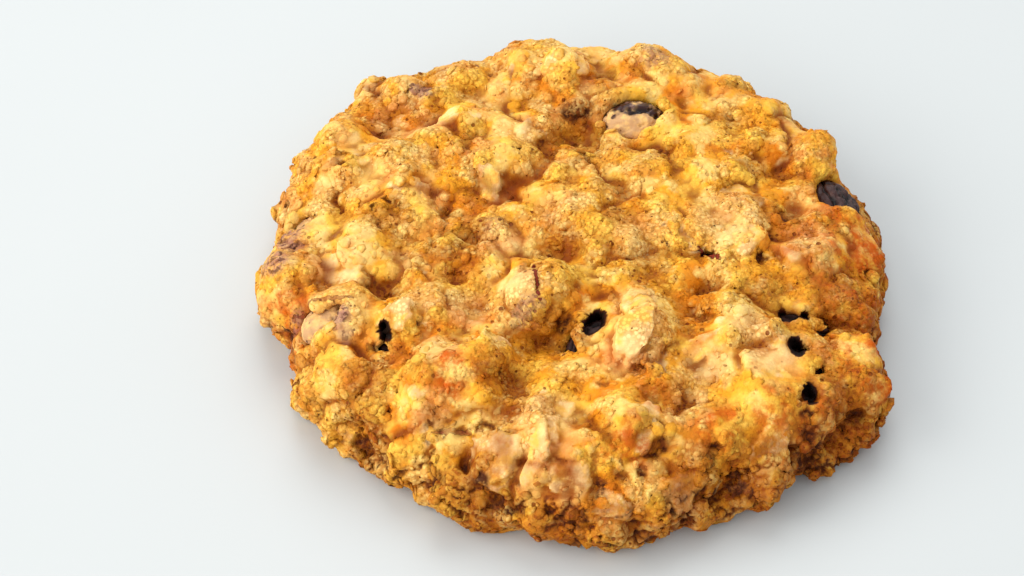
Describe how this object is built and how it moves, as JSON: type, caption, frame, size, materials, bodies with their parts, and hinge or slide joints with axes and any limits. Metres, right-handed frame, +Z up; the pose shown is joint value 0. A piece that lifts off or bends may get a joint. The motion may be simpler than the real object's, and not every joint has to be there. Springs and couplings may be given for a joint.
{
  "type": "oatmeal raisin cookie",
  "caption": "Round, thick baked cookie with a craggy top of oat flakes and dough clumps, and raisins set in its dough.",
  "frame": {"origin": "middle of the flat base that the cookie lies on", "axes": "+Z up out of the craggy top, -Y towards the front, +X to the right"},
  "size_m": [0.0791, 0.0842, 0.0159],
  "materials": {
    "dough": "baked oat dough, golden tan with cream oat flakes and browned edges, slightly buttery",
    "raisin": "dark purple-black wrinkled raisin skin, with a greyish film of dough in places"
  },
  "bodies": {
    "root": {"cookie": "dough", "raisin_back": "raisin", "raisin_right": "raisin", "raisin_left": "raisin", "raisin_front_left": "raisin", "raisin_left_pit": "raisin", "raisin_middle": "raisin", "raisin_crater": "raisin", "raisin_crevice": "raisin", "raisin_seam": "raisin", "raisin_flake_edge": "raisin"}
  },
  "joints": []
}
